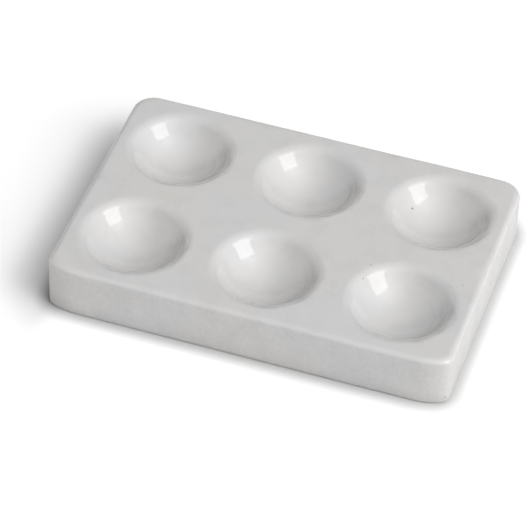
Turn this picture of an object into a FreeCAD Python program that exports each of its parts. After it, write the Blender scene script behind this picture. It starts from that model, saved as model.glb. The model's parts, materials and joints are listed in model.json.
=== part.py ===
"""A six-well porcelain mixing palette, in millimetres.

The palette is one fired piece made of two materials: a pressed porcelain body, and a coat of
white glaze fused over its face, wells and side walls. The glaze stops at a wipe line just above
the foot, and the underside is bare porcelain, so that the piece can stand in the kiln.

The origin is the centre of the underside. +X runs along the length, +Y across the width and +Z up.
"""

import FreeCAD
import Part
import math
import os

# Outside of the glazed palette.
LENGTH = 95.0
WIDTH = 64.2
HEIGHT = 13.1
FACE_EDGE_RADIUS = 1.25
FOOT_EDGE_RADIUS = 0.65

# The four upright corners in plan. The front ones are tighter, and the front wall bends gently
# back before them.
BACK_CORNER_RADIUS = 5.2
FRONT_CORNER_RADIUS = 2.4
FRONT_BEND_RADIUS = 16.0
FRONT_BEND_ANGLE = 23.0

# The wells: shallow spherical bowls on a square grid, each with a softly rounded rim.
COLUMNS = 3
ROWS = 2
WELL_PITCH = 31.5
BOWL_RADIUS = 14.0
WELL_DEPTH = 6.2
RIM_RADIUS = 3.8

# The glaze: thin on the walls, and pooled thicker towards the floor of each well.
GLAZE_THICKNESS = 0.3
GLAZE_POOLING = 0.25
WIPE_LINE_HEIGHT = 0.4

# How far cutting tools run past what they cut, and how far the plugs that carry the bowls go
# down into the slab.
OVERRUN = 1.0
PLUG_BASE_HEIGHT = 3.0

PARTS_FOLDER = "parts"
TOLERANCE = 1e-4
UP = FreeCAD.Vector(0, 0, 1)


def well_centres():
    """The plan positions of the wells, row by row from the front left."""
    for row in range(ROWS):
        for column in range(COLUMNS):
            x = (column - (COLUMNS - 1) / 2) * WELL_PITCH
            y = (row - (ROWS - 1) / 2) * WELL_PITCH
            yield x, y


def corner_arcs():
    """The arcs of the outline in plan, counter-clockwise: centre, radius, first and last angle."""
    bend = math.radians(FRONT_BEND_ANGLE)
    quarter = math.pi / 2
    lead = FRONT_BEND_RADIUS - FRONT_CORNER_RADIUS
    front_x = LENGTH / 2 - FRONT_CORNER_RADIUS
    bend_x = front_x - lead * math.sin(bend)
    bend_y = FRONT_BEND_RADIUS - WIDTH / 2
    front_y = bend_y - lead * math.cos(bend)
    back_x = LENGTH / 2 - BACK_CORNER_RADIUS
    back_y = WIDTH / 2 - BACK_CORNER_RADIUS
    return [
        ((bend_x, bend_y), FRONT_BEND_RADIUS, -quarter, bend - quarter),
        ((front_x, front_y), FRONT_CORNER_RADIUS, bend - quarter, 0),
        ((back_x, back_y), BACK_CORNER_RADIUS, 0, quarter),
        ((-back_x, back_y), BACK_CORNER_RADIUS, quarter, math.pi),
        ((-front_x, front_y), FRONT_CORNER_RADIUS, math.pi, 3 * quarter - bend),
        ((-bend_x, bend_y), FRONT_BEND_RADIUS, 3 * quarter - bend, 3 * quarter),
    ]


def outline(inset):
    """The closed outline in plan, set in evenly."""
    arcs = []
    for (x, y), radius, first, last in corner_arcs():
        points = [
            FreeCAD.Vector(x + (radius - inset) * math.cos(angle), y + (radius - inset) * math.sin(angle), 0)
            for angle in (first, (first + last) / 2, last)
        ]
        arcs.append(points)
    edges = []
    for points, following in zip(arcs, arcs[1:] + arcs[:1]):
        edges.append(Part.Arc(*points).toShape())
        if (following[0] - points[2]).Length > TOLERANCE:
            edges.append(Part.LineSegment(points[2], following[0]).toShape())
    return Part.Wire(edges)


def edges_at_height(shape, z):
    """The edges that lie wholly at one height."""
    return [
        edge
        for edge in shape.Edges
        if abs(edge.BoundBox.ZMin - z) < TOLERANCE and abs(edge.BoundBox.ZMax - z) < TOLERANCE
    ]


def rounded_slab(inset):
    """The slab without wells, set in by the same amount on its walls and its face, but not at its foot."""
    top = HEIGHT - inset
    slab = Part.Face(outline(inset)).extrude(UP * top)
    slab = slab.makeFillet(FACE_EDGE_RADIUS - inset, edges_at_height(slab, top))
    return slab.makeFillet(FOOT_EDGE_RADIUS, edges_at_height(slab, 0))


def well_plug(inset, pooling):
    """One well's rim, wall and floor: a round plug on the Z axis, hollowed to a spherical bowl.

    The bowl runs out over a round rim, which meets the face at the plug's outer edge.
    """
    top = HEIGHT - inset
    bowl = BOWL_RADIUS + inset
    rim = RIM_RADIUS - inset
    bowl_height = HEIGHT - WELL_DEPTH - pooling + BOWL_RADIUS
    rim_height = top - rim
    rise = bowl_height - rim_height
    reach = math.sqrt((bowl + rim) ** 2 - rise**2)
    lean = math.atan2(reach, rise)

    def bowl_point(angle):
        return FreeCAD.Vector(bowl * math.sin(angle), 0, bowl_height - bowl * math.cos(angle))

    def rim_point(angle):
        return FreeCAD.Vector(reach - rim * math.sin(angle), 0, rim_height + rim * math.cos(angle))

    floor = bowl_point(0)
    tangent = bowl_point(lean)
    mouth = rim_point(0)
    base_edge = FreeCAD.Vector(reach, 0, PLUG_BASE_HEIGHT)
    base_centre = FreeCAD.Vector(0, 0, PLUG_BASE_HEIGHT)
    section = Part.Wire(
        [
            Part.Arc(floor, bowl_point(lean / 2), tangent).toShape(),
            Part.Arc(tangent, rim_point(lean / 2), mouth).toShape(),
            Part.LineSegment(mouth, base_edge).toShape(),
            Part.LineSegment(base_edge, base_centre).toShape(),
            Part.LineSegment(base_centre, floor).toShape(),
        ]
    )
    plug = Part.Face(section).revolve(FreeCAD.Vector(0, 0, 0), UP, 360)
    return plug, reach


def palette_solid(inset, pooling):
    """The palette set in by the glaze's thickness, with its wells deepened by the pooling."""
    solid = rounded_slab(inset)
    plug, reach = well_plug(inset, pooling)
    pocket_depth = HEIGHT - PLUG_BASE_HEIGHT + OVERRUN
    pocket = Part.makeCylinder(reach, pocket_depth, FreeCAD.Vector(0, 0, PLUG_BASE_HEIGHT))
    for x, y in well_centres():
        place = FreeCAD.Vector(x, y, 0)
        solid = solid.cut(pocket.translated(place)).fuse(plug.translated(place))
    return solid.removeSplitter()


def make_body():
    """The bare porcelain."""
    return palette_solid(GLAZE_THICKNESS, GLAZE_POOLING)


def make_glaze(body):
    """The fused coat: the outer shape above the wipe line, less the body that it covers."""
    outside = palette_solid(0, 0)
    below = Part.makeBox(
        LENGTH + 2 * OVERRUN,
        WIDTH + 2 * OVERRUN,
        WIPE_LINE_HEIGHT + OVERRUN,
        FreeCAD.Vector(-LENGTH / 2 - OVERRUN, -WIDTH / 2 - OVERRUN, -OVERRUN),
    )
    return outside.cut(below).cut(body)


def save(shape, node):
    """Checks that a node is one closed solid and writes it."""
    solid = shape.Solids[0]
    if len(shape.Solids) != 1 or not solid.isValid() or not solid.isClosed():
        raise ValueError(f"{node} is not one valid closed solid, but {len(shape.Solids)} solids")
    solid.exportStep(os.path.join(PARTS_FOLDER, f"{node}.step"))
    box = solid.optimalBoundingBox(False)
    print(f"{node}: {box.XLength:.2f} x {box.YLength:.2f} x {box.ZLength:.2f} mm, {solid.Volume:.1f} mm3")


os.makedirs(PARTS_FOLDER, exist_ok=True)
porcelain_body = make_body()
save(porcelain_body, "porcelain_body")
save(make_glaze(porcelain_body), "glaze_coat")
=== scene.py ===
"""The looks of a six-well porcelain mixing palette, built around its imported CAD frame.

The frame has two nodes: the bare porcelain body, and the coat of glaze fused over it. Both are
rebuilt here as closed meshes with the small unevenness of a pressed and fired piece. The
palette's lengths are millimetres, scaled to metres when a mesh or a material is made. The sizes
and distances of the floor, the lamp and the camera are metres, and the lens is millimetres.
+X runs along the length, +Y across the width to the back, and +Z up.
"""

import json
import math

import bpy
from mathutils import Matrix, Vector, noise


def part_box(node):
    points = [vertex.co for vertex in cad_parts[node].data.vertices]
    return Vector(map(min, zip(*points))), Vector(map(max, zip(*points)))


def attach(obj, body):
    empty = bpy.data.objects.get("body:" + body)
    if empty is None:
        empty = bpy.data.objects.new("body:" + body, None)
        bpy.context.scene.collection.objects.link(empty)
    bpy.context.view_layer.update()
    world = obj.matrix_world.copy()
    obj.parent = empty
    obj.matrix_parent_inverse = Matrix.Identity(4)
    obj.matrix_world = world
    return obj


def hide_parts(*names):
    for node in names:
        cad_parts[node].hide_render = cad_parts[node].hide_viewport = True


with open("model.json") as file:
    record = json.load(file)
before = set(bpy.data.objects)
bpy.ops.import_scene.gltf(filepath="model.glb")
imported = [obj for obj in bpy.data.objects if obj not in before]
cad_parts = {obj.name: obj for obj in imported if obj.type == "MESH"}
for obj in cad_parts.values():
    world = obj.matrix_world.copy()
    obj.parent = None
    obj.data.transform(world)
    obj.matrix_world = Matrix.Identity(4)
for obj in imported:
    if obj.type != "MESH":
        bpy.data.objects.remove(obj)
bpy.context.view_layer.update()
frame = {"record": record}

MM = 0.001

# The glazed outside, read from the frame.
LOW, HIGH = (tuple(corner / MM for corner in point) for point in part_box("glaze_coat"))
HALF_LENGTH = HIGH[0]
HALF_WIDTH = HIGH[1]
HEIGHT = HIGH[2]
WIPE_LINE_HEIGHT = LOW[2]

# The same driving dimensions as the CAD model.
BACK_CORNER_RADIUS = 5.2
FRONT_CORNER_RADIUS = 2.4
FRONT_BEND_RADIUS = 16.0
FRONT_BEND_ANGLE = math.radians(23.0)
FACE_EDGE_RADIUS = 1.25
FOOT_EDGE_RADIUS = 0.65
BOWL_RADIUS = 14.0
WELL_DEPTH = 6.2
RIM_RADIUS = 3.8
GLAZE_THICKNESS = 0.3
GLAZE_POOLING = 0.25

# How finely the meshes are divided.
SIDE_STEPS = 32
BOWL_RINGS = 22
RIM_RINGS = 12
FACE_RINGS = 8
EDGE_ROWS = 5
WALL_ROWS = 14
FOOT_ROWS = 4
UNDERSIDE_RINGS = 10
CORE_SHARE = 0.45

# Faint rings that the press tool left on the wells' upper walls, fading in and out round the well.
RING_DEPTH = 0.03
RING_SPAN = 1.7
RING_INNER = 6.0
RING_OUTER = 13.0

# How far the outside wanders from true, always inwards of the CAD box, over what distance, and
# the seed that makes every run draw the same drift.
WANDER = 0.08
WANDER_SPAN = 17.0
WANDER_SEED = 1
FACE_SAG = 0.12
FACE_SAG_SPAN = 24.0


def well_centres():
    """The wells' centres in plan, from the deep opening that the record states in each one."""
    centres = []
    for opening in frame["record"]["physics"]["openings"]:
        if opening["name"].endswith("_deep"):
            low, high = opening["box_m"]
            centres.append(((low[0] + high[0]) / 2 / MM, (low[1] + high[1]) / 2 / MM))
    return centres


WELLS = well_centres()


# ---------------------------------------------------------------- the outline in plan

QUARTER = math.pi / 2

# Two arcs closer than this meet with no straight run between them.
SHORTEST_RUN = 0.01

# Slack for rays that run along a line or meet it at its very end.
SLACK = 1e-6


def outline_arcs():
    """The arcs of the outline, counter-clockwise: centre, radius, first and last angle."""
    lead = FRONT_BEND_RADIUS - FRONT_CORNER_RADIUS
    front_x = HALF_LENGTH - FRONT_CORNER_RADIUS
    bend_x = front_x - lead * math.sin(FRONT_BEND_ANGLE)
    bend_y = FRONT_BEND_RADIUS - HALF_WIDTH
    front_y = bend_y - lead * math.cos(FRONT_BEND_ANGLE)
    back_x = HALF_LENGTH - BACK_CORNER_RADIUS
    back_y = HALF_WIDTH - BACK_CORNER_RADIUS
    turn = QUARTER - FRONT_BEND_ANGLE
    return [
        ((bend_x, bend_y), FRONT_BEND_RADIUS, -QUARTER, -turn),
        ((front_x, front_y), FRONT_CORNER_RADIUS, -turn, 0.0),
        ((back_x, back_y), BACK_CORNER_RADIUS, 0.0, QUARTER),
        ((-back_x, back_y), BACK_CORNER_RADIUS, QUARTER, math.pi),
        ((-front_x, front_y), FRONT_CORNER_RADIUS, math.pi, math.pi + turn),
        ((-bend_x, bend_y), FRONT_BEND_RADIUS, math.pi + turn, 3 * QUARTER),
    ]


ARCS = outline_arcs()


def on_circle(centre, radius, angle):
    """The point of a circle in plan at an angle from its centre."""
    return Vector(centre) + radius * Vector((math.cos(angle), math.sin(angle)))


def outline_runs():
    """The straight runs of the outline: start, direction, length and outward normal."""
    runs = []
    for arc, next_arc in zip(ARCS, ARCS[1:] + ARCS[:1]):
        start = on_circle(arc[0], arc[1], arc[3])
        end = on_circle(next_arc[0], next_arc[1], next_arc[2])
        if (end - start).length > SHORTEST_RUN:
            along = (end - start).normalized()
            runs.append((start, along, (end - start).length, Vector((along.y, -along.x))))
    return runs


RUNS = outline_runs()


def in_sweep(angle, first, last):
    """Whether a direction lies within an arc's sweep."""
    return (angle - first) % (2 * math.pi) <= last - first


def outline_hit(centre, angle, inset):
    """Where a ray from inside meets the outline, set in by inset, and the outward normal there."""
    origin = Vector(centre)
    ray = Vector((math.cos(angle), math.sin(angle)))
    hits = []
    for middle, radius, first, last in ARCS:
        offset = origin - Vector(middle)
        along = offset.dot(ray)
        under = along**2 - offset.length_squared + (radius - inset) ** 2
        if under <= 0:
            continue
        reach = math.sqrt(under) - along
        normal = (offset + ray * reach).normalized()
        if in_sweep(math.atan2(normal.y, normal.x), first, last):
            hits.append((reach, normal))
    for start, along, length, normal in RUNS:
        closing = ray.dot(normal)
        if closing <= SLACK:
            continue
        reach = ((start - origin).dot(normal) - inset) / closing
        share = (origin + ray * reach - start).dot(along)
        if -SLACK <= share <= length + SLACK:
            hits.append((reach, normal))
    reach, normal = max(hits, key=lambda hit: hit[0])
    return origin + ray * reach, normal


def outline_distance(x, y):
    """The distance of a point in plan inwards from the outline, which is exact near the outline."""
    point = Vector((x, y))
    nearest = FACE_EDGE_RADIUS
    for centre, radius, first, last in ARCS:
        offset = point - Vector(centre)
        if in_sweep(math.atan2(offset.y, offset.x), first, last):
            nearest = min(nearest, radius - offset.length)
    for start, along, length, normal in RUNS:
        if 0 <= (point - start).dot(along) <= length:
            nearest = min(nearest, (start - point).dot(normal))
    return nearest


# ---------------------------------------------------------------- the sections

SEAM_ANGLE = math.pi / 4
SEAM_INSET = FACE_EDGE_RADIUS * (1 - math.cos(SEAM_ANGLE))


class Skin:
    """The palette's shape set in by an even thickness, with its wells deepened by the pooling.

    The seam, half way down the rounded edge, is where the face is handed over to the wall.
    """

    def __init__(self, inset, pooling):
        self.inset = inset
        self.top = HEIGHT - inset
        self.edge = FACE_EDGE_RADIUS - inset
        self.bowl = BOWL_RADIUS + inset
        self.rim = RIM_RADIUS - inset
        self.bowl_height = HEIGHT - WELL_DEPTH - pooling + BOWL_RADIUS
        rise = self.bowl_height - self.top + self.rim
        self.reach = math.sqrt((self.bowl + self.rim) ** 2 - rise**2)
        self.slope = math.atan2(self.reach, rise)
        self.bowl_edge = self.bowl * math.sin(self.slope)

    def height(self, radius, inward):
        """The surface's height at a distance from a well's centre and inwards from the outline."""
        if radius < self.bowl_edge:
            return self.bowl_height - math.sqrt(self.bowl**2 - radius**2)
        height = self.top
        if radius < self.reach:
            height -= self.rim - math.sqrt(self.rim**2 - (self.reach - radius) ** 2)
        inward -= self.inset
        if inward < self.edge:
            height -= self.edge - math.sqrt(self.edge**2 - (self.edge - inward) ** 2)
        return height

    def wall(self, bottom):
        """The section from the seam down to a height: insets from the outline, and heights."""
        first = math.acos(1 - (SEAM_INSET - self.inset) / self.edge)
        section = []
        for i in range(EDGE_ROWS + 1):
            angle = first * (1 - i / EDGE_ROWS)
            step = self.edge * (1 - math.cos(angle))
            section.append((self.inset + step, self.top - self.edge * (1 - math.sin(angle))))
        top = self.top - self.edge
        for i in range(1, WALL_ROWS + 1):
            section.append((self.inset, top + (FOOT_EDGE_RADIUS - top) * i / WALL_ROWS))
        turn = math.asin((FOOT_EDGE_RADIUS - bottom) / FOOT_EDGE_RADIUS)
        for i in range(1, FOOT_ROWS + 1):
            angle = turn * i / FOOT_ROWS
            step = FOOT_EDGE_RADIUS * (1 - math.cos(angle))
            section.append((self.inset + step, FOOT_EDGE_RADIUS * (1 - math.sin(angle))))
        return section


OUTSIDE = Skin(0.0, 0.0)
UNDER_GLAZE = Skin(GLAZE_THICKNESS, GLAZE_POOLING)


def ring_radii():
    """The radii of the mesh's rings round a well."""
    core = OUTSIDE.bowl_edge * CORE_SHARE
    inner = [core + (OUTSIDE.bowl_edge - core) * i / BOWL_RINGS for i in range(BOWL_RINGS + 1)]
    rim = []
    for i in range(1, RIM_RINGS + 1):
        angle = OUTSIDE.slope * (1 - i / RIM_RINGS)
        rim.append(OUTSIDE.reach - OUTSIDE.rim * math.sin(angle))
    return inner + rim


RADII = ring_radii()


# ---------------------------------------------------------------- the cells of the mesh

# Places that agree to this many decimals of a millimetre are the same place.
WELL_DIGITS = 4
WELD_DIGITS = 3

COLUMN_XS = sorted({round(x, WELL_DIGITS) for x, _ in WELLS})
ROW_YS = sorted({round(y, WELL_DIGITS) for _, y in WELLS})


def halfway_lines(values, value):
    """The lines half way to the neighbours below and above a value, or None past the last one."""
    i = min(range(len(values)), key=lambda k: abs(values[k] - value))
    low = (values[i] + values[i - 1]) / 2 if i else None
    high = (values[i] + values[i + 1]) / 2 if i + 1 < len(values) else None
    return low, high


def cell_sides(centre):
    """The four sides of the cell round one well, counter-clockwise from the right.

    A side is a first and a last angle from the centre, and a line half way to the next well, or
    None where the side is a stretch of the outline.
    """
    left, right = halfway_lines(COLUMN_XS, centre[0])
    bottom, top = halfway_lines(ROW_YS, centre[1])

    def corner_angle(x, y, sx, sy):
        if x is None and y is None:
            middle, radius = min(
                ((arc[0], arc[1]) for arc in ARCS),
                key=lambda arc: -(sx * arc[0][0] + sy * arc[0][1] + math.sqrt(2) * arc[1]),
            )
            reach = (radius - SEAM_INSET) * math.sqrt(0.5)
            x, y = middle[0] + sx * reach, middle[1] + sy * reach
        elif x is None:
            x = sx * (HALF_LENGTH - SEAM_INSET)
        elif y is None:
            y = sy * (HALF_WIDTH - SEAM_INSET)
        return math.atan2(y - centre[1], x - centre[0])

    angles = [
        corner_angle(right, bottom, 1, -1),
        corner_angle(right, top, 1, 1),
        corner_angle(left, top, -1, 1),
        corner_angle(left, bottom, -1, -1),
    ]
    lines = [("x", right), ("y", top), ("x", left), ("y", bottom)]
    sides = []
    for k in range(4):
        start, end = angles[k], angles[(k + 1) % 4]
        if end < start:
            end += 2 * math.pi
        sides.append((start, end, lines[k]))
    return sides


def side_angles(side):
    """The angles from a well's centre of the mesh's spokes across one side."""
    start, end, _ = side
    return [start + (end - start) * i / SIDE_STEPS for i in range(SIDE_STEPS + 1)]


def side_points(centre, side):
    """The points along one side of a cell, with outward normals where the side is the outline."""
    axis, value = side[2]
    points = []
    for angle in side_angles(side):
        if value is None:
            points.append(outline_hit(centre, angle, SEAM_INSET))
        elif axis == "x":
            points.append((Vector((value, centre[1] + (value - centre[0]) * math.tan(angle))), None))
        else:
            points.append((Vector((centre[0] + (value - centre[1]) / math.tan(angle), value)), None))
    return points


def core_patch(centre, sides):
    """A square grid of plan points that fills the innermost ring."""
    n = SIDE_STEPS
    ring = []
    for side in sides:
        for angle in side_angles(side)[:-1]:
            ring.append(on_circle(centre, RADII[0], angle))
    ring.append(ring[0])
    right, top = ring[0 : n + 1], ring[n : 2 * n + 1][::-1]
    left, bottom = ring[2 * n : 3 * n + 1][::-1], ring[3 * n :]
    rows = []
    for j in range(n + 1):
        v = j / n
        row = []
        for i in range(n + 1):
            u = i / n
            across = (1 - u) * left[j] + u * right[j]
            along = (1 - v) * bottom[i] + v * top[i]
            low = (1 - u) * bottom[0] + u * bottom[n]
            high = (1 - u) * top[0] + u * top[n]
            row.append(across + along - (1 - v) * low - v * high)
        rows.append(row)
    return rows


class Cell:
    """The plan of the mesh round one well, which every sheet of the palette shares."""

    def __init__(self, centre):
        self.centre = centre
        self.sides = cell_sides(centre)
        self.core = core_patch(centre, self.sides)
        self.edges = [side_points(centre, side) for side in self.sides]

    def is_outline(self, number):
        """Whether a side of the cell is a stretch of the outline."""
        return self.sides[number][2][1] is None

    def rings(self, number):
        """Rows of plan points from the core out to one side."""
        angles = side_angles(self.sides[number])
        rows = [[on_circle(self.centre, radius, angle) for angle in angles] for radius in RADII]
        rim = rows[-1]
        for k in range(1, FACE_RINGS + 1):
            share = k / FACE_RINGS
            rows.append([point.lerp(edge, share) for point, (edge, _) in zip(rim, self.edges[number])])
        return rows

    def foot_edges(self, inset):
        """The points along the four sides with the outline set in, where the other sides end too."""
        step = SEAM_INSET - inset
        sides = [[edge + normal * step if normal else edge for edge, normal in side] for side in self.edges]
        for number in range(4):
            if self.is_outline(number):
                sides[number - 1][-1] = sides[number][0]
                sides[(number + 1) % 4][0] = sides[number][-1]
        return sides

    def wall_rows(self, number, section):
        """Rows of points down the wall along one side."""
        rows = []
        for inset, height in section:
            step = SEAM_INSET - inset
            rows.append([(*(edge + normal * step), height) for edge, normal in self.edges[number]])
        return rows


CELLS = [Cell(centre) for centre in WELLS]


class Sheet:
    """Vertices and quads gathered before they are joined into one mesh."""

    def __init__(self):
        self.points = []
        self.quads = []
        self.index = {}

    def add(self, point):
        key = tuple(round(c, WELD_DIGITS) for c in point)
        if key not in self.index:
            self.index[key] = len(self.points)
            self.points.append(tuple(point))
        return self.index[key]

    def grid(self, rows, flip=False):
        """Quads between rows of points of equal length, facing the other way if flipped."""
        marks = [[self.add(point) for point in row] for row in rows]
        for lower, upper in zip(marks, marks[1:]):
            for quad in zip(lower, lower[1:], upper[1:], upper):
                if len(set(quad)) == 4:
                    self.quads.append(quad[::-1] if flip else quad)

    def face(self, skin, flip=False):
        """The face and the wells, out to the seam."""
        for cell in CELLS:

            def lift(row):
                return [
                    (p.x, p.y, skin.height((p - Vector(cell.centre)).length, outline_distance(p.x, p.y)))
                    for p in row
                ]

            self.grid([lift(row) for row in cell.core], flip)
            for number in range(4):
                self.grid([lift(row) for row in cell.rings(number)], not flip)

    def walls(self, section, flip=False):
        """The walls down a section of insets and heights."""
        for cell in CELLS:
            for number in range(4):
                if cell.is_outline(number):
                    self.grid(cell.wall_rows(number, section), not flip)

    def underside(self, inset):
        """The flat underside, within the foot's rounded edge."""
        for cell in CELLS:
            self.grid([[(p.x, p.y, 0.0) for p in row] for row in cell.core], True)
            for number, outer in enumerate(cell.foot_edges(inset)):
                inner = cell.rings(number)[0]
                rows = []
                for k in range(UNDERSIDE_RINGS + 1):
                    share = k / UNDERSIDE_RINGS
                    rows.append([(*a.lerp(b, share), 0.0) for a, b in zip(inner, outer)])
                self.grid(rows)


def ring_drop(x, y):
    """How far the tool's rings lower the surface at a point in plan."""
    centre = min(WELLS, key=lambda well: math.dist(well, (x, y)))
    radius = math.dist(centre, (x, y))
    if not RING_INNER < radius < RING_OUTER:
        return 0.0
    share = math.sin(math.pi * (radius - RING_INNER) / (RING_OUTER - RING_INNER))
    fade = max(0, 0.5 + noise.noise(Vector((x, y, 0)) / RING_OUTER))
    return RING_DEPTH * share * fade * (1 + math.sin(2 * math.pi * radius / RING_SPAN))


# Blender seeds noise_vector from the clock unless a seed is set.
noise.seed_set(WANDER_SEED)


def wander(point):
    """Moves a point as the clay moved in pressing and firing, and never outside the CAD box."""
    x, y, z = point
    place = Vector(point) / WANDER_SPAN
    drift = noise.noise_vector(place)
    sag = 0.5 + 0.5 * noise.noise(Vector((x, y, 0)) / FACE_SAG_SPAN)
    return (
        x * (1 - WANDER / HALF_LENGTH) + WANDER * max(-1, min(1, drift.x)),
        y * (1 - WANDER / HALF_WIDTH) + WANDER * max(-1, min(1, drift.y)),
        (z - ring_drop(x, y) * z / HEIGHT) * (1 - FACE_SAG / HEIGHT * sag),
    )


SHARP_ANGLE = math.radians(50)


def make_piece(sheet, name, material, *nodes, slot):
    """Turns a sheet into a piece that stands for the CAD nodes it names."""
    mesh = bpy.data.meshes.new(name)
    points = [wander(point) for point in sheet.points]
    mesh.from_pydata([tuple(MM * c for c in point) for point in points], [], sheet.quads)
    mesh.shade_smooth()
    mesh.set_sharp_from_angle(angle=SHARP_ANGLE)
    mesh.materials.append(material)
    piece = bpy.data.objects.new(name, mesh)
    bpy.context.scene.collection.objects.link(piece)
    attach(piece, "root")
    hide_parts(*nodes)


# ---------------------------------------------------------------- materials


# The band in which smooth noise does most of its wandering.
LOW_NOISE, HIGH_NOISE = 0.3, 0.7

BLACK = (0.0, 0.0, 0.0, 1.0)


def put(tree, socket, value):
    """Links a socket to another node's output, or sets it to a constant."""
    if isinstance(value, bpy.types.NodeSocket):
        tree.links.new(value, socket)
    else:
        socket.default_value = value


def math_node(tree, operation, *values):
    """A math node's output, from sockets or constants."""
    node = tree.nodes.new("ShaderNodeMath")
    node.operation = operation
    for socket, value in zip(node.inputs, values):
        put(tree, socket, value)
    return node.outputs[0]


class Material:
    """A material's node tree, written a node at a time.

    Places in it are in metres. The spans, reaches and depths that its functions take are in
    millimetres.
    """

    def __init__(self, name):
        self.made = bpy.data.materials.new(name)
        self.made.use_nodes = True
        self.tree = self.made.node_tree
        self.shader = self.tree.nodes["Principled BSDF"]
        coordinates = self.tree.nodes.new("ShaderNodeTexCoord")
        self.place = coordinates.outputs["Object"]
        self.normal = coordinates.outputs["Normal"]

    def put(self, socket, value):
        put(self.tree, socket, value)

    def noise(self, span, detail=2.0, shift=0.0, place=None):
        """Smooth noise from 0 to 1 with features about one span, in millimetres, across."""
        node = self.tree.nodes.new("ShaderNodeTexNoise")
        node.noise_dimensions = "4D"
        self.put(node.inputs["Vector"], self.place if place is None else place)
        self.put(node.inputs["W"], shift)
        self.put(node.inputs["Scale"], 1 / (span * MM))
        self.put(node.inputs["Detail"], detail)
        return node.outputs["Fac"]

    def math(self, operation, *values):
        return math_node(self.tree, operation, *values)

    def spread(self, value, low, high, to_low, to_high):
        """Maps a range smoothly onto another, and holds it at the ends."""
        node = self.tree.nodes.new("ShaderNodeMapRange")
        node.interpolation_type = "SMOOTHSTEP"
        for socket, number in zip(node.inputs, (value, low, high, to_low, to_high)):
            self.put(socket, number)
        return node.outputs["Result"]

    def cloud(self, noise_value, to_low, to_high):
        """Spreads smooth noise over a range."""
        return self.spread(noise_value, LOW_NOISE, HIGH_NOISE, to_low, to_high)

    def mix(self, share, first, second):
        """A colour between two colours."""
        node = self.tree.nodes.new("ShaderNodeMix")
        node.data_type = "RGBA"
        self.put(node.inputs["Factor"], share)
        self.put(node.inputs["A"], first)
        self.put(node.inputs["B"], second)
        return node.outputs["Result"]

    def part(self, vector, axis):
        """One component of a vector."""
        node = self.tree.nodes.new("ShaderNodeSeparateXYZ")
        self.put(node.inputs[0], vector)
        return node.outputs[axis]

    def distance_to(self, point):
        """The distance from a point in millimetres."""
        node = self.tree.nodes.new("ShaderNodeVectorMath")
        node.operation = "DISTANCE"
        self.put(node.inputs[0], self.place)
        node.inputs[1].default_value = tuple(c * MM for c in point)
        return self.math("DIVIDE", node.outputs["Value"], MM)

    def cells(self, span):
        """Scattered points: the distance to the nearest one in spans, and a number for each."""
        node = self.tree.nodes.new("ShaderNodeTexVoronoi")
        self.put(node.inputs["Vector"], self.place)
        self.put(node.inputs["Scale"], 1 / (span * MM))
        return node.outputs["Distance"], node.outputs["Color"]

    def openness(self, reach):
        """How open the space within a reach in millimetres is, from 0 to 1."""
        node = self.tree.nodes.new("ShaderNodeAmbientOcclusion")
        self.put(node.inputs["Distance"], reach * MM)
        return node.outputs["AO"]

    def bump(self, height, depth, below=None):
        """A bump whose height from 0 to 1 stands for a depth in millimetres."""
        node = self.tree.nodes.new("ShaderNodeBump")
        self.put(node.inputs["Height"], height)
        self.put(node.inputs["Distance"], depth * MM)
        self.put(node.inputs["Strength"], 1.0)
        if below:
            self.put(node.inputs["Normal"], below)
        return node.outputs["Normal"]


# The glaze wanders between a cool and a warm white, and is clouded and finely grained in tone.
GLAZE_COOL = (0.624, 0.622, 0.626, 1)
GLAZE_WARM = (0.636, 0.622, 0.606, 1)
TINT_SPAN = 26.0
TINT_BAND = (0.35, 0.65)
CLOUD_SPAN = 5.5
CLOUD_TONE = (0.962, 1.028)
GRAIN_SPAN = 0.75
FACE_GRAIN = 0.08
WALL_GRAIN = 0.22
# The walls' colour is painted darker than the face's by this share, as painted shade.
WALL_PAINTED_SHADE = 0.878

# How rough the glaze is, and how unevenly.
WALL_ROUGHNESS = 0.38
FACE_ROUGHNESS = 0.04
UNEVEN_SPAN = 3.5
UNEVEN_ROUGHNESS = (-0.02, 0.03)

# The glaze's orange peel, and the sandy feel of its walls.
PEEL_SPAN = 2.6
PEEL_DEPTH = 0.01
PEEL_ON_WALLS = 0.3
SAND_SPAN = 1.3
SAND_DEPTH = 0.014
SAND_ON_FACE = 0.05

# Small iron specks: how far apart they could be, how big in that span, and which are there.
SPECK_COLOUR = (0.16, 0.12, 0.085, 1)
SPECK_SPAN = 5.5
SPECK_REACH = 0.035
SPECK_STRENGTH = 0.7
SPECK_CHOICE = (0.8, 0.82)
PIT_DEPTH = 0.04

# Where the walls begin, by how far the surface leans: 1 faces up and 0 sideways.
WALL_LEAN = (0.55, 0.2)

# Iron specks and pits that stand out: place, radius and strength.
MARKS = [
    ((24.2, 18.8, 9.3), 0.34, 0.75),
    ((21.2, -10.8, 12.4), 0.24, 0.6),
    ((21.7, -6.4, 13.0), 0.28, 0.45),
    ((46.7, -30.1, 1.9), 0.42, 0.35),
]
MARK_CORE = 0.4

# Streaks of painted shade round the side of each well that faces away from the lamp: how dark they
# are, how long, how many times narrower than long, which way they lie from the well's centre, how
# close to that way they fade in, and the radii between which they fade in and out.
STREAK_TONE = 0.15
STREAK_SPAN = 5.0
STREAK_SQUEEZE = 6.0
STREAK_BAND = (0.42, 0.62)
STREAK_SIDE = math.radians(-35.0)
STREAK_FACING = (0.2, 0.85)
STREAK_INNER = (6.5, 9.0)
STREAK_OUTER = (12.5, 14.0)
HALF_PITCH = (max(x for x, _ in WELLS) - min(x for x, _ in WELLS)) / 4


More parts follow.
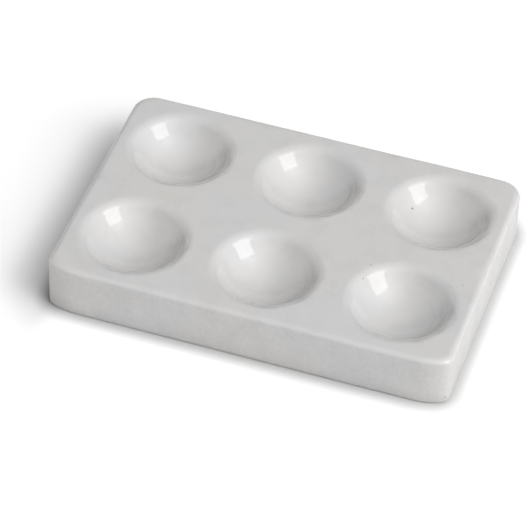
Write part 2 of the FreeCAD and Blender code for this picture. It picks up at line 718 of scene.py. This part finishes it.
def well_painted_streaks(m):
    """Faint streaks of painted shade that follow the wells' walls round, on one side of each well, from 0
    to 1.
    """
    half = HALF_PITCH * MM
    across = m.math("WRAP", m.part(m.place, "X"), half, -half)
    along = m.math("WRAP", m.math("SUBTRACT", m.part(m.place, "Y"), half), half, -half)
    radius = m.math("SQRT", m.math("MULTIPLY_ADD", across, across, m.math("MULTIPLY", along, along)))
    along_side = m.math("MULTIPLY", along, math.sin(STREAK_SIDE))
    toward_side = m.math("MULTIPLY_ADD", across, math.cos(STREAK_SIDE), along_side)
    side = m.spread(m.math("DIVIDE", toward_side, radius), *STREAK_FACING, 0.0, 1.0)
    inner = m.spread(radius, STREAK_INNER[0] * MM, STREAK_INNER[1] * MM, 0.0, 1.0)
    outer = m.spread(radius, STREAK_OUTER[0] * MM, STREAK_OUTER[1] * MM, 1.0, 0.0)
    squeezed = m.tree.nodes.new("ShaderNodeCombineXYZ")
    m.put(squeezed.inputs["X"], m.math("MULTIPLY", radius, STREAK_SQUEEZE))
    m.put(squeezed.inputs["Y"], m.part(m.place, "X"))
    m.put(squeezed.inputs["Z"], m.part(m.place, "Y"))
    lines = m.spread(m.noise(STREAK_SPAN, place=squeezed.outputs[0]), *STREAK_BAND, 0.0, 1.0)
    return m.math("MULTIPLY", m.math("MULTIPLY", lines, side), m.math("MULTIPLY", inner, outer))


def glaze_material():
    """White glaze: glossy on the face and in the wells, satin on the walls, whose colour is painted darker
    as painted shade.
    """
    m = Material("white_glaze_mottled")
    wall = m.spread(m.part(m.normal, "Z"), WALL_LEAN[1], WALL_LEAN[0], 1.0, 0.0)

    def on_wall(face_value, wall_value):
        """A value that changes over from the face to the walls."""
        return m.spread(wall, 0.0, 1.0, face_value, wall_value)

    tint = m.mix(m.spread(m.noise(TINT_SPAN, shift=3.0), *TINT_BAND, 0.0, 1.0), GLAZE_COOL, GLAZE_WARM)
    cloud = m.cloud(m.noise(CLOUD_SPAN, detail=5.0), *CLOUD_TONE)
    centred = m.math("SUBTRACT", m.noise(GRAIN_SPAN), 0.5)
    grain = m.math("MULTIPLY_ADD", centred, on_wall(FACE_GRAIN, WALL_GRAIN), 1.0)
    # Cloud and grain are the glaze's own tone. The darker share on the walls is painted shade.
    shade = m.math("MULTIPLY", on_wall(1.0, WALL_PAINTED_SHADE), m.math("MULTIPLY", cloud, grain))
    # Painted shade: the streaks darken the colour round one side of each well.
    streak_painted_shade = m.math("SUBTRACT", 1.0, m.math("MULTIPLY", well_painted_streaks(m), STREAK_TONE))
    white = m.mix(m.math("MULTIPLY", shade, streak_painted_shade), BLACK, tint)

    near, which = m.cells(SPECK_SPAN)
    chosen = m.spread(which, *SPECK_CHOICE, 0.0, 1.0)
    dot = m.spread(near, SPECK_REACH / 2, SPECK_REACH, SPECK_STRENGTH, 0.0)
    speck = m.math("MULTIPLY", dot, chosen)
    for place, radius, strength in MARKS:
        mark = m.spread(m.distance_to(place), radius * MARK_CORE, radius, strength, 0.0)
        speck = m.math("MAXIMUM", speck, mark)
    m.put(m.shader.inputs["Base Color"], m.mix(speck, white, SPECK_COLOUR))

    uneven = m.cloud(m.noise(UNEVEN_SPAN, shift=7.0), *UNEVEN_ROUGHNESS)
    satin = on_wall(FACE_ROUGHNESS, WALL_ROUGHNESS)
    m.put(m.shader.inputs["Roughness"], m.math("ADD", satin, uneven))

    swell = m.math("MULTIPLY", m.noise(PEEL_SPAN, detail=1.0, shift=11.0), on_wall(1.0, PEEL_ON_WALLS))
    peel = m.bump(swell, PEEL_DEPTH)
    sand = m.math("MULTIPLY", m.noise(SAND_SPAN, detail=1.0, shift=5.0), on_wall(SAND_ON_FACE, 1.0))
    fine = m.bump(sand, SAND_DEPTH, below=peel)
    pitted = m.bump(m.math("SUBTRACT", 1.0, speck), PIT_DEPTH, below=fine)
    m.put(m.shader.inputs["Normal"], pitted)
    return m.made


BARE_DARK = (0.58, 0.555, 0.52, 1)
BARE_LIGHT = (0.66, 0.645, 0.615, 1)
BARE_SPAN = 8.0
BARE_ROUGHNESS = (0.78, 0.92)
BARE_ROUGHNESS_SPAN = 2.0
GRIT_SPAN = 0.35
GRIT_TONE = 0.9
GRIT_BUMP_SPAN = 0.3
GRIT_DEPTH = 0.03


def porcelain_material():
    """Bare fired porcelain: matt, slightly warm and gritty."""
    m = Material("bare_porcelain_gritty")
    tint = m.mix(m.cloud(m.noise(BARE_SPAN, detail=4.0), 0.0, 1.0), BARE_DARK, BARE_LIGHT)
    grit = m.cloud(m.noise(GRIT_SPAN, detail=3.0, shift=2.0), GRIT_TONE, 1.0)
    rough = m.cloud(m.noise(BARE_ROUGHNESS_SPAN, shift=9.0), *BARE_ROUGHNESS)
    m.put(m.shader.inputs["Base Color"], m.mix(grit, BLACK, tint))
    m.put(m.shader.inputs["Roughness"], rough)
    m.put(m.shader.inputs["Normal"], m.bump(m.noise(GRIT_BUMP_SPAN, detail=3.0, shift=4.0), GRIT_DEPTH))
    return m.made


# ---------------------------------------------------------------- the pieces

glaze = Sheet()
glaze.face(OUTSIDE)
glaze.walls(OUTSIDE.wall(WIPE_LINE_HEIGHT))
glaze.face(UNDER_GLAZE, flip=True)
glaze.walls(UNDER_GLAZE.wall(WIPE_LINE_HEIGHT), flip=True)
glaze.walls([OUTSIDE.wall(WIPE_LINE_HEIGHT)[-1], UNDER_GLAZE.wall(WIPE_LINE_HEIGHT)[-1]])
make_piece(glaze, "glaze_coat_surface", glaze_material(), "glaze_coat", slot="white_glaze")

body = Sheet()
body.face(UNDER_GLAZE)
body.walls(UNDER_GLAZE.wall(0.0))
body.underside(UNDER_GLAZE.wall(0.0)[-1][0])
make_piece(body, "porcelain_body_surface", porcelain_material(), "porcelain_body", slot="bare_porcelain")


# ---------------------------------------------------------------- the floor

# The floor's size in metres, its colour and glow, and the span and depth of its faint clouding.
FLOOR_SIZE = 6.0
FLOOR_ALBEDO = 0.95
FLOOR_GLOW = 0.12
FLOOR_SPAN = 40.0
FLOOR_TONE = 0.985

# Painted contact shade: the floor's colour is painted darker where the palette stands this close, but never
# further than this share.
CONTACT_SHADE_REACH = 4.2
CONTACT_SHADE_DARKEST = 0.62

# On the side away from the light a wider painted shadow darkens the floor's colour from further
# off. That side is told by the turn from -X, clockwise from above, round a point inside the front
# left corner: the turns where the painted shadow begins, is full, starts to fade and ends, and how
# far in the point lies.
SHADE_REACH = 14.5
SHADE_TURNS = (-80.0, 25.0, 90.0, 150.0)
SHADE_HEART = 8.0


def painted_shadow_side(m):
    """How far a place on the floor lies within the painted shadow on the side away from the light, from 0
    to 1.
    """
    left = m.math("SUBTRACT", (SHADE_HEART - HALF_LENGTH) * MM, m.part(m.place, "X"))
    back = m.math("ADD", m.part(m.place, "Y"), (HALF_WIDTH - SHADE_HEART) * MM)
    turn = m.math("ARCTAN2", back, left)
    begin, full, fade, end = (math.radians(angle) for angle in SHADE_TURNS)
    rise = m.spread(turn, begin, full, 0.0, 1.0)
    return m.math("MULTIPLY", rise, m.spread(turn, fade, end, 1.0, 0.0))


def make_floor():
    """A plain pale floor whose colour and glow carry painted shade where something stands close over it,
    and a wider painted shadow on the side away from the light.
    """
    m = Material("pale_floor")
    # Painted contact shade, from how open the floor is within a small reach.
    near = m.math("MAXIMUM", m.openness(CONTACT_SHADE_REACH), CONTACT_SHADE_DARKEST)
    # A wider painted shadow on the side away from the light.
    shade = m.math("MAXIMUM", m.openness(SHADE_REACH), m.math("SUBTRACT", 1.0, painted_shadow_side(m)))
    painted_shade_factor = m.math("MULTIPLY", near, shade)
    # The floor's colour carries the painted shade and the painted shadow.
    pale = m.math("MULTIPLY", m.cloud(m.noise(FLOOR_SPAN, detail=3.0), FLOOR_TONE, 1.0), painted_shade_factor)
    m.put(m.shader.inputs["Base Color"], m.mix(pale, BLACK, (FLOOR_ALBEDO,) * 3 + (1,)))
    m.put(m.shader.inputs["Roughness"], 1.0)
    m.put(m.shader.inputs["Specular IOR Level"], 0.0)
    # The floor's even glow is dimmed by the same painted shade.
    m.put(m.shader.inputs["Emission Color"], m.math("POWER", painted_shade_factor, 2.0))
    m.put(m.shader.inputs["Emission Strength"], FLOOR_GLOW)
    mesh = bpy.data.meshes.new("floor")
    h = FLOOR_SIZE / 2
    mesh.from_pydata([(-h, -h, 0), (h, -h, 0), (h, h, 0), (-h, h, 0)], [], [(0, 1, 2, 3)])
    mesh.materials.append(m.made)
    floor = bpy.data.objects.new("floor", mesh)
    bpy.context.scene.collection.objects.link(floor)


make_floor()


# ---------------------------------------------------------------- the light

SOFTBOX_AZIMUTH = -11.0
SOFTBOX_ELEVATION = 39.8
SOFTBOX_ROLL = -18.3
SOFTBOX_DISTANCE = 1.2
SOFTBOX_WIDTH = 0.646
SOFTBOX_HEIGHT = 0.677
SOFTBOX_POWER = 4.9
WORLD_STRENGTH = 0.11

# Broad soft fills: azimuth and elevation of the middle, how tightly it is gathered, and strength.
FILLS = [
    (0.0, 60.0, 60.0, 1.1),
    (-10.0, 52.0, 4.0, 1.57),
    (-45.0, 45.0, 8.0, 0.98),
    (-100.0, 45.0, 30.0, 0.55),
    (180.0, 15.0, 8.0, 1.12),
]


def toward(azimuth, elevation):
    """The unit vector at an azimuth from +X and an elevation, in degrees."""
    a, e = math.radians(azimuth), math.radians(elevation)
    return Vector((math.cos(e) * math.cos(a), math.cos(e) * math.sin(a), math.sin(e)))


def aim(thing, azimuth, elevation, distance, roll, target=(0.0, 0.0, 0.0)):
    """Stands a lamp or a camera at a distance from a target and turns it to look there."""
    direction = toward(azimuth, elevation)
    thing.location = Vector(target) + direction * distance
    turn = Matrix.Rotation(math.radians(roll), 3, "Z")
    thing.rotation_euler = (direction.to_track_quat("Z", "Y").to_matrix() @ turn).to_euler()
    bpy.context.scene.collection.objects.link(thing)


def make_softbox():
    """The one lamp, whose window-like reflection shows in every well."""
    light = bpy.data.lights.new("softbox", "AREA")
    light.shape = "RECTANGLE"
    light.size = SOFTBOX_WIDTH
    light.size_y = SOFTBOX_HEIGHT
    light.energy = SOFTBOX_POWER
    lamp = bpy.data.objects.new("softbox", light)
    aim(lamp, SOFTBOX_AZIMUTH, SOFTBOX_ELEVATION, SOFTBOX_DISTANCE, SOFTBOX_ROLL)


def make_room():
    """An even pale room, brighter where the broad fills stand."""
    world = bpy.data.worlds.new("studio")
    world.use_nodes = True
    tree = world.node_tree
    place = tree.nodes.new("ShaderNodeTexCoord").outputs["Generated"]
    total = WORLD_STRENGTH
    for azimuth, elevation, gather, strength in FILLS:
        facing = tree.nodes.new("ShaderNodeVectorMath")
        facing.operation = "DOT_PRODUCT"
        tree.links.new(place, facing.inputs[0])
        facing.inputs[1].default_value = toward(azimuth, elevation)
        front = math_node(tree, "MAXIMUM", facing.outputs["Value"], 0.0)
        total = math_node(tree, "MULTIPLY_ADD", math_node(tree, "POWER", front, gather), strength, total)
    tree.links.new(total, tree.nodes["Background"].inputs["Color"])
    tree.nodes["Background"].inputs["Strength"].default_value = 1.0
    bpy.context.scene.world = world


make_softbox()
make_room()


# ---------------------------------------------------------------- the camera

CAMERA_AZIMUTH = 16.71
CAMERA_ELEVATION = 43.44
CAMERA_ROLL = 2.39
CAMERA_DISTANCE = 0.7578
CAMERA_AIM = (-4.684 * MM, -1.658 * MM, 0.0)
CAMERA_LENS = 222.89
CAMERA_SENSOR = 36.0


def make_camera():
    """The camera, in front of the palette and a little to its right."""
    camera = bpy.data.objects.new("camera", bpy.data.cameras.new("camera"))
    camera.data.sensor_width = CAMERA_SENSOR
    camera.data.lens = CAMERA_LENS
    aim(camera, CAMERA_AZIMUTH - 90, CAMERA_ELEVATION, CAMERA_DISTANCE, CAMERA_ROLL, CAMERA_AIM)
    bpy.context.scene.camera = camera


make_camera()
bpy.context.scene.view_settings.view_transform = "Standard"
